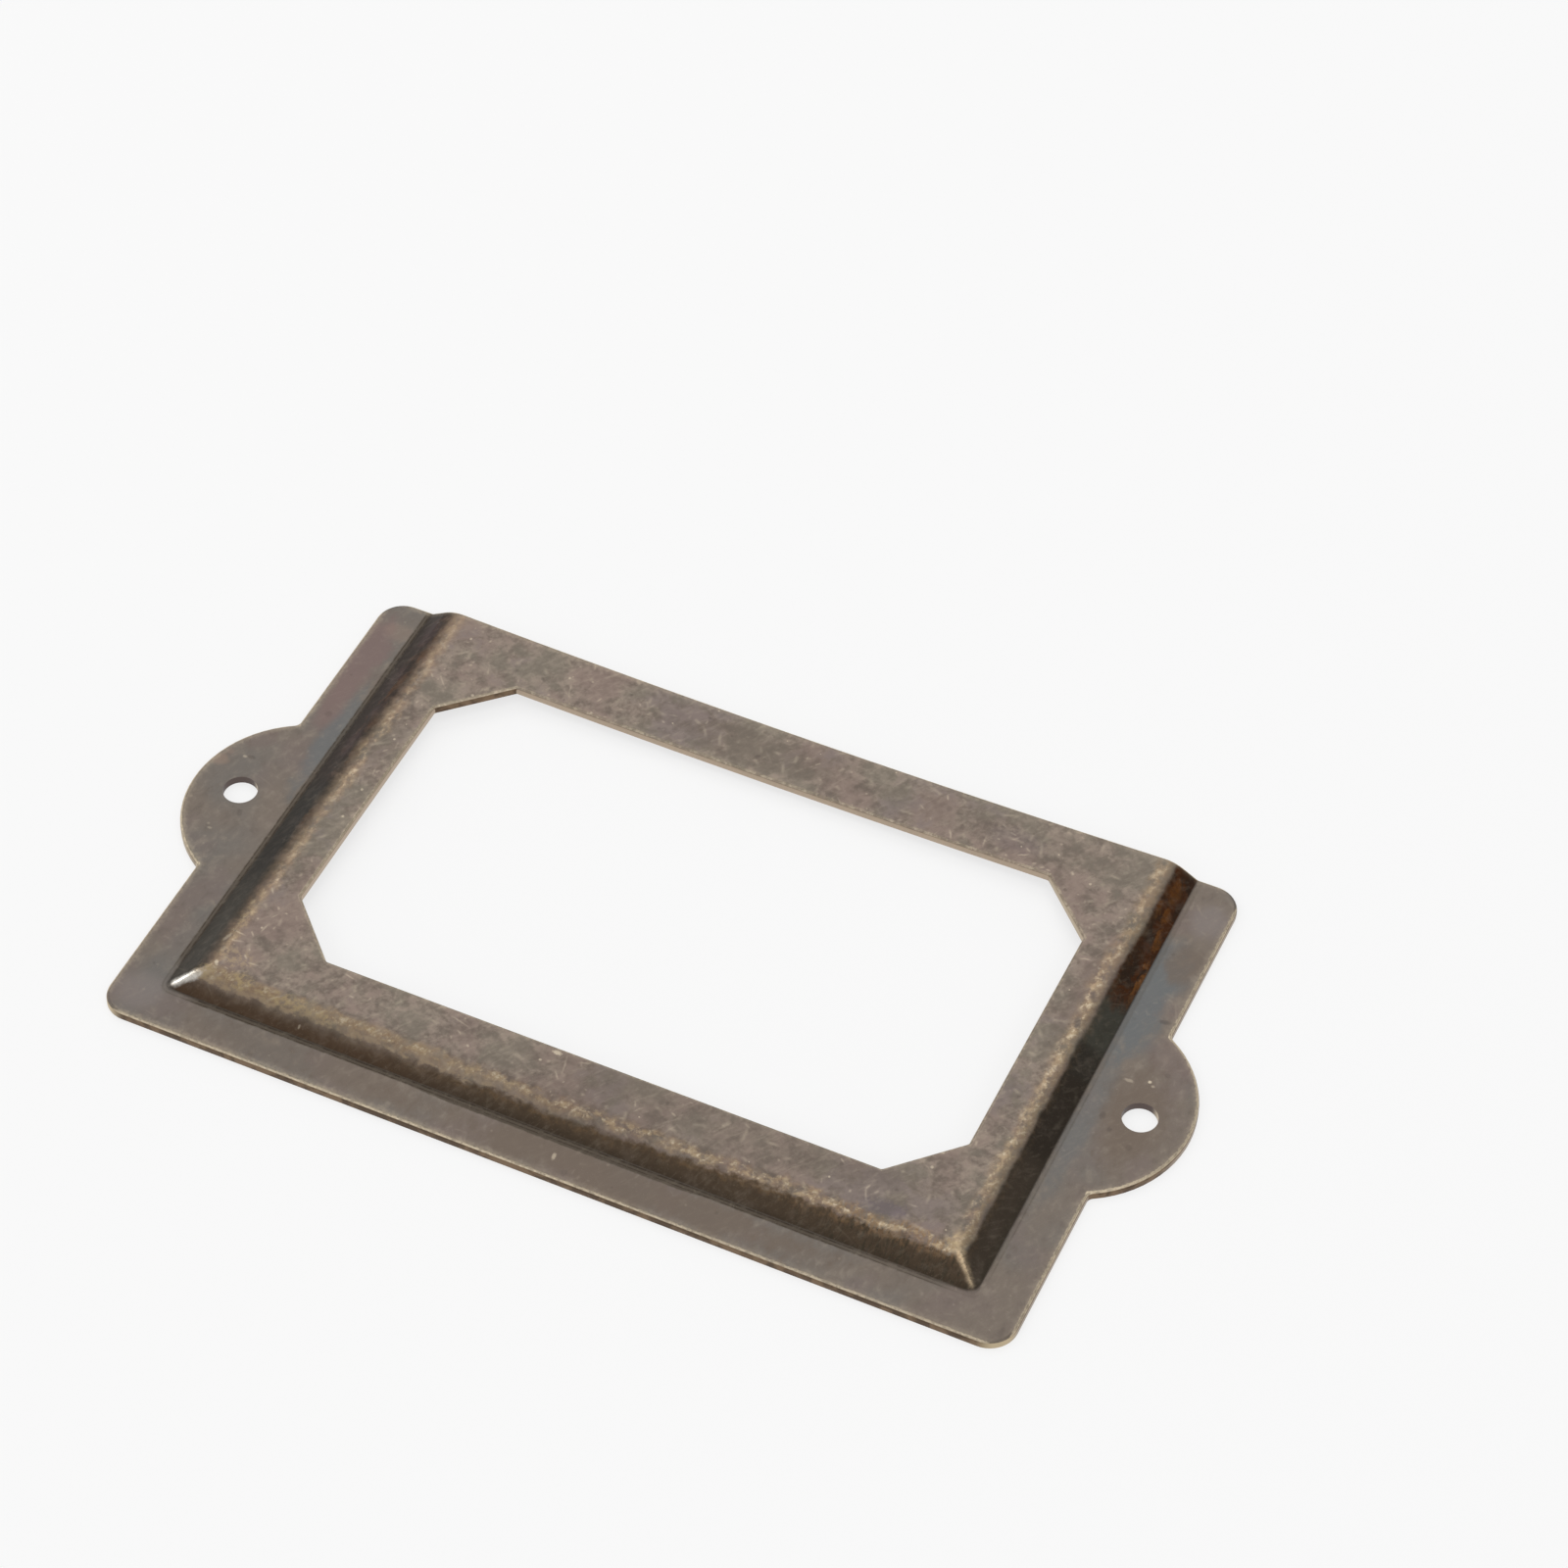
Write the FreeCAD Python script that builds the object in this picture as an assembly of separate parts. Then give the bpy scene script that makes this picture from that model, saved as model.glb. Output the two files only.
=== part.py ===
import FreeCAD
import Part
import math
import os

# Label frame for a drawer front: one sheet, blanked to outline and pressed. Millimetres.
# +Z points out of the drawer front and +Y towards the long edge that is left open for the
# card. The origin is the middle of the blank's back face.

# Blank
sheet_thickness = 0.9
plate_length = 100.0
plate_width = 63.4
plate_corner_radius = 3.0
ear_radius = 12.5
ear_reach = 6.4                # how far each ear stands out past the plate's end
ear_root_radius = 0.8          # where an ear's arc runs into the plate's end

# Screw hole in each ear
hole_diameter = 3.7
hole_inset = 5.4               # from the ear's tip to the middle of its hole

# Raised panel, with a slope at each end and one along the closed long edge.
# Every bend radius is the inside one, and the sheet's thickness is added outside it.
panel_rise = 1.7
end_flange = 5.25              # flat border left outside the slope at each end
long_flange = 4.9              # and along the closed long edge
slope_angle = 31.0
panel_bend_radius = 3.1        # from a slope into the panel
foot_bend_radius = 0.5         # from the flange into a slope
hip_radius = 0.7               # where two slopes meet

# The rail along the open edge is pressed down at its middle
rail_sag = 0.9
rail_sag_reach = 31.7          # how far in from the open edge the sag begins

# Window, set in from the slopes' feet and from the open edge
end_stile = 7.4
closed_rail = 8.9
open_rail = 7.2
window_corner_cut = 6.5
window_corner_radius = 0.4

rim_radius = 0.35              # front edges, rolled over by the blanking die
overrun = 1.0                  # how far a cutting shape runs past what it cuts
tiny = 1e-4

slope = math.radians(slope_angle)
open_y = plate_width / 2
closed_y = -plate_width / 2
sag_y = open_y - rail_sag_reach
ear_tip = plate_length / 2 + ear_reach
total_height = sheet_thickness + panel_rise


def point(x, y, z=0.0):
    return FreeCAD.Vector(x, y, z)


def prism(corners, travel):
    return Part.Face(Part.makePolygon(corners + corners[:1])).extrude(travel)


def fillet(solid, radius, chosen):
    return solid.makeFillet(radius, [edge for edge in solid.Edges if chosen(edge.BoundBox)])


def upright(box):
    return box.ZLength > tiny and box.XLength < tiny and box.YLength < tiny


def panel_foot(wall):
    # Where the slopes of one face of the sheet would meet its flange if the bend were sharp
    inset = (sheet_thickness - wall) * math.tan(slope / 2)
    return plate_length / 2 - end_flange - inset, closed_y + long_flange + inset


def at_foot(box, wall):
    half, foot_y = panel_foot(wall)
    level = abs(box.ZMin - wall) < tiny and box.ZLength < tiny
    inside = max(-box.XMin, box.XMax) < half + tiny and box.YMin > foot_y - tiny
    return level and inside and box.YMin < open_y - tiny


def blank():
    sheet = Part.makeBox(plate_length, plate_width, sheet_thickness,
                         point(-plate_length / 2, closed_y))
    for side in (-1, 1):
        ear_at = point(side * (ear_tip - ear_radius), 0)
        sheet = sheet.fuse(Part.makeCylinder(ear_radius, sheet_thickness, ear_at))
    sheet = sheet.removeSplitter()
    sheet = fillet(sheet, plate_corner_radius,
                   lambda box: upright(box) and abs(box.YMin) > open_y - tiny)
    return fillet(sheet, ear_root_radius,
                  lambda box: upright(box) and abs(abs(box.XMin) - plate_length / 2) < tiny
                  and abs(box.YMin) < ear_radius)


def sagging_cover(half, wall):
    # All that lies under a patch which leaves the level panel, drops smoothly and levels out
    # again past the open edge, most at its middle and not at all at its ends
    reach = rail_sag_reach + overrun
    patch = Part.BezierSurface()
    patch.increase(2, 3)
    for across in range(3):
        for along in range(4):
            pole_z = wall + panel_rise
            if across == 1 and along > 1:
                pole_z -= 2 * rail_sag
            patch.setPole(across + 1, along + 1,
                          point(half * (across - 1), sag_y + reach * along / 3, pole_z))
    return patch.toShape().extrude(point(0, 0, -panel_rise))


def pressed_form(wall, far_y):
    # The solid under one face of the raised panel, which lies wall above the back face
    half, foot_y = panel_foot(wall)
    lift = panel_rise + overrun
    run = lift / math.tan(slope)
    ends = prism([point(-half, foot_y, wall), point(half, foot_y, wall),
                  point(half - run, foot_y, wall + lift),
                  point(run - half, foot_y, wall + lift)], point(0, far_y - foot_y))
    front = prism([point(-half, foot_y, wall), point(-half, far_y, wall),
                   point(-half, far_y, wall + lift),
                   point(-half, foot_y + run, wall + lift)], point(2 * half, 0))
    level_cover = Part.makeBox(2 * half, sag_y - foot_y, panel_rise, point(-half, foot_y, wall))
    cover = level_cover.fuse(sagging_cover(half, wall))
    form = ends.common(front).common(cover).removeSplitter().Solids[0]
    form = fillet(form, panel_bend_radius + wall,
                  lambda box: box.ZMin > wall + panel_rise / 2
                  and not (box.YLength < tiny and box.YMin > sag_y - tiny))
    return fillet(form, hip_radius + wall,
                  lambda box: box.ZMin < wall + tiny
                  and min(box.XLength, box.YLength, box.ZLength) > tiny)


def window():
    half, foot_y = panel_foot(sheet_thickness)
    x = half - end_stile
    low_y = foot_y + closed_rail
    high_y = open_y - open_rail
    cut = window_corner_cut
    outline = [point(cut - x, low_y), point(x - cut, low_y), point(x, low_y + cut),
               point(x, high_y - cut), point(x - cut, high_y), point(cut - x, high_y),
               point(-x, high_y - cut), point(-x, low_y + cut)]
    return fillet(prism(outline, point(0, 0, total_height + overrun)),
                  window_corner_radius, upright)


def front_rims(sheet):
    # The front edges of the walls that the blanking die cuts: outline, window and open end
    rims = []
    for face in sheet.Faces:
        u_low, u_high, v_low, v_high = face.ParameterRange
        normal = face.normalAt((u_low + u_high) / 2, (v_low + v_high) / 2)
        if abs(normal.z) < tiny:
            rims += [edge for edge in face.Edges
                     if edge.BoundBox.ZMin > tiny and not upright(edge.BoundBox)]
    return rims


def label_frame():
    sheet = blank().fuse(pressed_form(sheet_thickness, open_y)).removeSplitter().Solids[0]
    sheet = fillet(sheet, foot_bend_radius, lambda box: at_foot(box, sheet_thickness))
    sheet = sheet.cut(window())
    sheet = sheet.makeFillet(rim_radius, front_rims(sheet))
    for side in (-1, 1):
        hole_at = point(side * (ear_tip - hole_inset), 0)
        sheet = sheet.cut(Part.makeCylinder(hole_diameter / 2, total_height, hole_at))
    sheet = sheet.cut(pressed_form(0, open_y + overrun)).Solids[0]
    return fillet(sheet, foot_bend_radius + sheet_thickness, lambda box: at_foot(box, 0))


frame = label_frame()
os.makedirs("parts", exist_ok=True)
frame.exportStep("parts/label_frame.step")
size = frame.optimalBoundingBox()
print("label_frame", frame.isValid(), round(frame.Volume, 1), "mm3",
      round(size.XLength, 2), round(size.YLength, 2), round(size.ZLength, 2))
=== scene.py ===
import bpy
import math
from types import SimpleNamespace
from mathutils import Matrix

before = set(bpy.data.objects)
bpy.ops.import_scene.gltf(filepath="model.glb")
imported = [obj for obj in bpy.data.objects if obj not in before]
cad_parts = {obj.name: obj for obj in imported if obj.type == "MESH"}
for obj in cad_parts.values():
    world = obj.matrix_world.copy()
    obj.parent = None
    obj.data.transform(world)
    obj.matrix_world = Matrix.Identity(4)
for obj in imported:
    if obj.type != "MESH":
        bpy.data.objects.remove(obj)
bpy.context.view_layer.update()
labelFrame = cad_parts["label_frame"]


def tone(red, green, blue):
    # a colour as a paint chart gives it, 0 to 255, turned into the shader's linear scale
    return tuple(((c / 255 + 0.055) / 1.055) ** 2.4 for c in (red, green, blue)) + (1.0,)


class Wire:                                  # one shader socket that can be used in sums
    def __init__(self, tree, socket=None):
        self.tree = tree
        self.socket = socket

    def make(self, nodeType, settings=None, sockets=None, out=0):
        node = self.tree.nodes.new(nodeType)
        for name, value in (settings or {}).items():
            setattr(node, name, value)
        for name, value in (sockets or {}).items():
            if isinstance(value, Wire):
                self.tree.links.new(value.socket, node.inputs[name])
            else:
                node.inputs[name].default_value = value
        return Wire(self.tree, node.outputs[out] if node.outputs else None)

    def also(self, out):                     # another output of the same node
        return Wire(self.tree, self.socket.node.outputs[out])

    def sum(self, operation, *values):
        return self.make("ShaderNodeMath", {"operation": operation}, dict(enumerate(values)))

    def __add__(self, other):
        return self.sum("ADD", self, other)

    def __sub__(self, other):
        return self.sum("SUBTRACT", self, other)

    def __rsub__(self, other):
        return self.sum("SUBTRACT", other, self)

    def __mul__(self, other):
        return self.sum("MULTIPLY", self, other)

    def __truediv__(self, other):
        return self.sum("DIVIDE", self, other)

    def __abs__(self):
        return self.sum("ABSOLUTE", self)

    __radd__ = __add__
    __rmul__ = __mul__


def least(first, second):
    return first.sum("MINIMUM", first, second)


def most(first, second):
    return first.sum("MAXIMUM", first, second)


def ease(value, start, end, top=1.0):        # 0 at start, top at end, smooth between and flat beyond
    return value.make("ShaderNodeMapRange", {"interpolation_type": "SMOOTHSTEP"},
                      {0: value, 1: start, 2: end, 4: top})


def band(value, middle, half, soft):         # 1 within half of the middle, 0 beyond half + soft
    return ease(abs(value - middle), half + soft, half)


def spread(first, second):                   # length of the vector (first, second)
    squares = first * first + second * second
    return squares.sum("SQRT", squares)


def mix(share, under, over):                 # colours, over laid on under
    return share.make("ShaderNodeMix", {"data_type": "RGBA"}, {0: share, 6: under, 7: over}, 2)


def shifted(place, move=(0, 0, 0), stretch=(1, 1, 1), turn=0):
    return place.make("ShaderNodeMapping", {}, {
        "Vector": place, "Location": move, "Rotation": (0, 0, math.radians(turn)), "Scale": stretch})


def cloud(place, perMm, detail=2.0, rough=0.5, swirl=0.0):
    # soft noise, mostly 0.3 to 0.7, so an ease between two such values shows its higher or lower parts
    return place.make("ShaderNodeTexNoise", {}, {
        "Vector": place, "Scale": perMm, "Detail": detail, "Roughness": rough, "Distortion": swirl})


def patch(flat, spot, fray=0.0):             # a soft-edged oval patch, its outline moved by fray
    px, py, wide, tall, turn, strength = spot
    if turn:
        c, s = math.cos(math.radians(turn)), math.sin(math.radians(turn))
        across = flat.make("ShaderNodeVectorMath", {"operation": "DOT_PRODUCT"},
                           {0: flat, 1: (c / wide, s / wide, 0)}, "Value") - (px * c + py * s) / wide
        along = flat.make("ShaderNodeVectorMath", {"operation": "DOT_PRODUCT"},
                          {0: flat, 1: (-s / tall, c / tall, 0)}, "Value") - (py * c - px * s) / tall
        away = spread(across, along)
    else:
        away = flat.make("ShaderNodeVectorMath", {"operation": "MULTIPLY_ADD"},
                         {0: flat, 1: (1 / wide, 1 / tall, 0), 2: (-px / wide, -py / tall, 0)})
        away = away.make("ShaderNodeVectorMath", {"operation": "LENGTH"}, {0: away}, "Value")
    outer, inner = 1.35, 0.55                # in half widths, where it begins to show and is full
    return ease(away + fray if fray else away, outer, inner, strength)


def marks(flat, spots, fray):                # the strongest of several patches
    shown = patch(flat, spots[0], fray)
    for spot in spots[1:]:
        shown = most(shown, patch(flat, spot, fray))
    return shown


def hairScratches(place, cell, length, width, share, seed):
    # one hair scratch to each loose cell of the surface, every one at its own angle and a little bent
    bend, shortest, tapered = 0.15, 0.2, 0.2
    spot = shifted(place, (seed * 7.31, seed * 3.17, 0), (1 / cell, 1 / cell, 1 / cell))
    cells = spot.make("ShaderNodeTexVoronoi", {"voronoi_dimensions": "2D"},
                      {"Vector": spot, "Scale": 1.0}, "Distance")
    dice = cells.make("ShaderNodeSeparateColor", {}, {0: cells.also("Color")}, "Red")
    away = spot.make("ShaderNodeVectorMath", {"operation": "SUBTRACT"},
                     {0: spot, 1: cells.also("Position")})
    dx = away.make("ShaderNodeSeparateXYZ", {}, {0: away}, "X")
    dy = dx.also("Y")
    angle = dice * math.tau
    c, s = angle.sum("COSINE", angle), angle.sum("SINE", angle)
    along = (dx * c + dy * s) * cell
    across = (dy * c - dx * s) * cell
    bent = across + along * along * (dice.also("Green") - 0.5) * bend
    reach = (dice.also("Blue") * (1 - shortest) + shortest) * length
    line = ease(abs(bent), width, 0.0) * ease(abs(along), reach, reach * tapered)
    return line * ease(dice.also("Green") + share, 0.92, 1.3)


def freckles(place, cell, size, share, seed):    # a small round speck in some of the loose cells
    smallest = 0.3
    spot = shifted(place, (seed * 5.73, seed * 8.19, 0), (1 / cell, 1 / cell, 1 / cell))
    cells = spot.make("ShaderNodeTexVoronoi", {"voronoi_dimensions": "2D"},
                      {"Vector": spot, "Scale": 1.0}, "Distance")
    dice = cells.make("ShaderNodeSeparateColor", {}, {0: cells.also("Color")}, "Red")
    size = (dice.also("Green") * (1 - smallest) + smallest) * (size / cell)
    return (1 - ease(cells / size, 0.5, 1.1)) * dice.sum("LESS_THAN", dice, share)


# the frame's own measures, mm
plate = dict(
    halfLength=50.0, halfWidth=31.7, earMiddle=43.9, earRadius=12.5, holeAt=51.0, holeRadius=1.85,
    footX=44.75, footY=-26.8, hipBlend=2.2, windowX=37.35, windowY=21.2, windowAt=3.3,
    windowCorner=52.05)

finish = dict(
    flange=tone(118, 108, 99), flangeCool=tone(113, 107, 101), flangePlum=tone(117, 105, 100),
    flangePale=tone(134, 124, 113), flangeDim=tone(103, 94, 87), flangeBlue=tone(103, 106, 107),
    flangeRose=tone(121, 104, 100), flangeBrown=tone(110, 98, 88), flangeTan=tone(152, 131, 116),
    flangeCloud=tone(128, 120, 116),
    panelDark=tone(109, 98, 90), panelLight=tone(144, 131, 119), panelRose=tone(134, 117, 109),
    panelOlive=tone(122, 116, 104), panelMauve=tone(118, 108, 106), panelDim=tone(104, 93, 85),
    violet=tone(98, 89, 98), speck=tone(78, 69, 65),
    # sheen: the pale band on the bends, partly rubbed brass and partly a painted highlight
    rubAndSheen=tone(172, 154, 131), brass=tone(184, 162, 130), brassPale=tone(214, 200, 176),
    brassDeep=tone(152, 129, 98), brassRed=tone(136, 110, 84), brassAmber=tone(142, 112, 78),
    brassGilt=tone(176, 155, 118),
    # hip and hipDull: the left hip's strip, bare metal with a painted highlight, near white at the foot
    hip=tone(255, 250, 240), hipDull=tone(214, 196, 170), hipWorn=tone(200, 178, 146),
    thinCoat=tone(112, 90, 66), closedRed=tone(128, 100, 76), closedOlive=tone(60, 56, 46),
    closedWarm=tone(91, 70, 54), leftRust=tone(86, 62, 48), leftOlive=tone(84, 79, 70),
    leftWarm=tone(66, 50, 42), leftAmber=tone(122, 84, 52), leftPlum=tone(78, 62, 60),
    rightGreen=tone(80, 80, 72), rightBlack=tone(56, 50, 44), amber=tone(142, 92, 44),
    oxblood=tone(82, 49, 28), soot=tone(58, 45, 36), crease=tone(58, 50, 42),
    footShade=tone(80, 72, 63),
    # wall tones by the way each wall faces are painted light and shade: paler facing right or left, on the
    # window and at the near corners, darker in the screw holes
    wall=tone(128, 107, 86), wallDark=tone(92, 76, 62), litWallRight=tone(162, 146, 130),
    litWallLeft=tone(196, 180, 156), litWallCorner=tone(206, 188, 156), litWallWindow=tone(190, 172, 152),
    # rim: the rolled rims, rubbed brass with a painted highlight
    shadedWallHole=tone(98, 86, 82), rim=tone(212, 196, 170), back=tone(104, 94, 86))

# how strongly a tint is laid on where it is at its fullest
laid = dict(
    flangePlum=0.6, flangePale=0.75, flangeDim=0.65, panelRose=0.6, panelOlive=0.5, panelMauve=0.55,
    closedOlive=0.55, closedRed=0.6, closedWarm=0.5, leftOlive=0.55, leftWarm=0.5, leftRust=0.6,
    rightGreen=0.8, rightBlack=0.7, thinCoat=0.55, rubbedLine=0.36, footLine=0.5, crease=0.95,
    slopeLight=0.12, slopeDim=0.22, slopeBrushed=0.06, gritPale=0.08, gritDark=0.09,
    litWallCorner=0.85, litWallWindow=0.85)

# each slope's dark coat from its foot up, dark patina and partly painted shade; in mm in from the foot, the
# line to which it has been rubbed back, how softly it ends there, where clumps of bare brass lie beyond it
# and how widely; and how strong the foot's shade and the sheen, rubbed brass and partly a painted
# highlight, are, and how far the sheen reaches
slopes = dict(
    closed=dict(foot=tone(72, 61, 50), middle=tone(83, 70, 57), top=tone(96, 80, 64), line=1.72,
                soft=0.32, fray=1.2, gold=0.62, wide=0.75, shine=0.56, crest=0.0, shade=0.95,
                rubAndSheen=0.50, reach=2.1),
    left=dict(foot=tone(66, 62, 56), middle=tone(58, 54, 49), top=tone(112, 94, 74), line=3.34,
              soft=1.25, fray=1.2, gold=0.58, wide=0.80, shine=0.21, crest=0.08, shade=0.80,
              rubAndSheen=0.05, reach=1.0),
    right=dict(foot=tone(76, 68, 58), middle=tone(80, 70, 60), top=tone(78, 68, 57), line=2.49,
               soft=0.22, fray=0.45, gold=1.00, wide=1.05, shine=0.46, crest=0.12, shade=0.26,
               rubAndSheen=0.28, reach=1.2))

# how the closed slope's wear changes along it, in x
closedWear = dict(
    start=4, end=22, further=0.70, nearer=0.45, paleFrom=2, paleTo=-20, pale=0.8, shadeHalf=12,
    shadeWider=0.22)

# where along a slope a tint begins and is full, mm: x on the closed slope, y on the two end slopes
fades = dict(
    closedWarm=(-8, -24), closedLeft=(-8, -22), closedRight=(34, 46), closedFringe=(25, 32),
    closedShade=(26, 38), rubbedLine=(2, -10),
    leftOlive=(-3, -11), leftWarm=(5, 12), leftRust=(12, 22), leftDull=(10, 18),
    rightStain=(10.5, 14.0), rightHaze=(12, 18), rightDull=(11, 16), rightCrease=(0, 8),
    rightFoot=(10, 18), endLine=(16, 22),
    rimNear=(10, -30), rimFarX=(0, 15), rimFarY=(20, 25), rightRim=(46.5, 48.5),
    cornerX=(46.6, 48.6), cornerY=(28.3, 30.3))

# and those that lie in one stretch: its middle, half length, and how softly it ends
stretches = dict(
    leftLine=(11, 4, 3), leftDull=(-3, 5, 3), rightLine=(0, 6, 4), rightGreen=(11.5, 3.5, 3),
    rightBlack=(2.0, 5, 4))

# stains and marks that lie at one place: x, y, half width, half length, turn, strength; on a slope,
# the way along it and the way in from its foot
stains = dict(
    flangeBlue=(
        (45.7, 14.5, 2.9, 8.0, 0, 0.85), (46.0, -3.0, 1.5, 9.0, 0, 0.45),
        (-46.0, 10.5, 1.5, 8.0, 0, 0.7), (-46.2, -22.0, 1.6, 7.0, 0, 0.2)),
    flangeRose=(
        (-48.2, 22.0, 1.8, 6.5, 0, 0.85), (-48.0, 14.5, 1.5, 3.5, 0, 0.75),
        (52.0, 8.5, 3.2, 2.6, 0, 0.35), (-52.8, 7.6, 2.0, 1.6, 30, 0.3)),
    flangeCloud=(
        (-47.0, -28.4, 3.2, 2.4, 0, 0.65), (47.8, 26.6, 2.2, 2.4, 0, 0.65)),
    flangeTan=(
        (-55.2, 3.0, 1.0, 0.8, 30, 0.45), (-54.6, 4.4, 0.5, 0.4, 0, 0.25),
        (-46.5, 27.5, 1.6, 1.2, 0, 0.25)),
    flangeBrown=(
        (50.6, -0.5, 3.4, 6.5, 0, 0.8), (47.6, 20.3, 1.8, 2.6, 0, 0.7),
        (8.0, -29.4, 22.0, 2.2, 0, 0.8), (-28.0, -29.0, 14.0, 2.0, 0, 0.4)),
    leftAmber=(
        (24.6, 3.0, 1.4, 0.6, 0, 0.5), (9.0, 2.9, 1.5, 0.4, 0, 0.35),
        (19.5, 2.2, 1.6, 0.4, 10, 0.3), (27.8, 3.0, 1.2, 0.4, 0, 0.35),
        (13.5, 2.6, 1.1, 0.4, 0, 0.3), (-1.0, 2.7, 1.2, 0.35, 0, 0.25)),
    leftPlum=(
        (28.0, 1.6, 2.4, 0.9, 0, 0.7), (10.0, 1.5, 2.2, 0.8, 0, 0.6),
        (20.5, 1.2, 2.0, 0.6, 0, 0.5), (15.5, 1.8, 1.6, 0.6, 20, 0.5)),
    amber=(
        (28.2, 1.2, 1.6, 0.5, 0, 0.36), (24.6, 0.9, 0.9, 0.4, 0, 0.45),
        (21.4, 0.6, 1.1, 0.35, 0, 0.5), (15.6, 0.25, 2.8, 0.28, 0, 0.7),
        (19.0, 1.5, 0.6, 0.25, 30, 0.3), (25.5, 2.0, 0.8, 0.25, 0, 0.35)),
    soot=(
        (17.5, 1.7, 3.0, 0.8, 0, 0.9), (22.6, 1.9, 1.3, 0.5, 0, 0.8),
        (26.4, 0.3, 1.2, 0.3, 0, 0.6), (30.6, 0.8, 0.8, 0.8, 0, 0.6)),
    violet=(
        (33.2, -22.2, 2.2, 1.0, 10, 0.45), (36.9, -24.0, 1.1, 0.7, 0, 0.35),
        (26.0, 27.5, 3.0, 1.6, 0, 0.2)),
    panelDim=(
        (14.0, -19.5, 24.0, 3.4, 0, 0.42), (6.0, -22.4, 18.0, 1.2, 0, 0.30),
        (-3.0, 27.8, 10.0, 2.4, 0, 0.45), (26.0, 28.0, 16.0, 2.6, 0, 0.20),
        (40.2, 10.0, 1.2, 10.0, 0, 0.40), (-39.2, 12.0, 1.3, 4.0, 0, 0.35)),
    gilt=(
        (-37.6, -23.9, 2.2, 1.0, 0, 0.8), (-32.3, -24.2, 3.4, 0.8, 0, 0.75),
        (-41.3, -24.0, 1.1, 1.0, 0, 0.7), (-28.0, -24.4, 2.0, 0.7, 0, 0.6),
        (-41.1, -17.5, 0.8, 5.0, 0, 0.3), (40.8, -23.2, 0.9, 0.9, 0, 0.5),
        (-39.2, -21.6, 2.2, 1.4, 0, 0.4)),
    speck=(
        (47.5, -1.3, 0.32, 0.46, 0, 0.4), (48.8, -2.7, 0.26, 0.34, 0, 0.35),
        (48.7, 12.4, 0.6, 0.28, 10, 0.4), (-49.5, -2.8, 0.3, 0.5, 20, 0.3),
        (-52.2, 4.6, 0.45, 0.25, 0, 0.4), (-5.0, -22.2, 1.3, 0.5, 20, 0.3),
        (-3.6, 26.8, 0.5, 0.25, 50, 0.4)),
    tick=(
        # the first, beside the left hip's bare strip, is a painted highlight
        (-40.8, -22.9, 0.2, 0.36, 30, 0.6), (-29.7, -25.9, 0.12, 0.2, 0, 0.35),
        (50.2, 4.6, 0.20, 0.18, 10, 0.7), (50.7, 4.2, 0.20, 0.16, 0, 0.3),
        (48.2, 3.9, 0.55, 0.2, 0, 0.25), (-52.9, 4.4, 0.25, 0.18, 0, 0.3),
        (-51.3, -6.0, 0.25, 0.16, 0, 0.2), (-51.7, -5.5, 0.16, 0.16, 0, 0.15),
        (0.6, -29.2, 0.2, 0.45, 10, 0.4), (-4.3, -18.6, 0.5, 0.25, 0, 0.6),
        (-41.5, -19.4, 0.2, 0.6, -20, 0.4)))

# loose cell, length, width, share of the cells, and a seed
scratches = dict(
    smudges=((2.7, 0.9, 0.34, 0.6, 7), (3.9, 1.5, 0.30, 0.6, 11)),
    hairs=((3.3, 0.9, 0.17, 0.55, 1), (4.6, 1.4, 0.18, 0.55, 2), (2.4, 0.6, 0.19, 0.5, 3),
           (6.5, 2.0, 0.16, 0.5, 4), (1.8, 0.4, 0.20, 0.45, 5)))

# loose cell, size, share of the cells, and a seed
flecks = dict(largeDark=(5.5, 0.50, 0.30, 8), smallDark=(3.1, 0.30, 0.16, 6), pale=(4.1, 0.22, 0.25, 9))

# how much stronger a kind of mark is on the panel than elsewhere, and how strong elsewhere
markShares = dict(smudges=(0.12, 0.04), brushed=(0.05, 0.02), hairs=(0.24, 0.06), smallDark=(0.25, 0.10),
                  pale=(0.35, 0.08))

# the shader's own: roughness, how much less of it bare metal and scratches have, and the bump
gloss = dict(rough=0.42, grit=0.10, bare=0.12, scratched=0.15, patinaAndShade=0.05)
relief = dict(mottle=0.35, fine=0.08, broad=6.0, strength=0.6, depth=0.00003)


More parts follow.
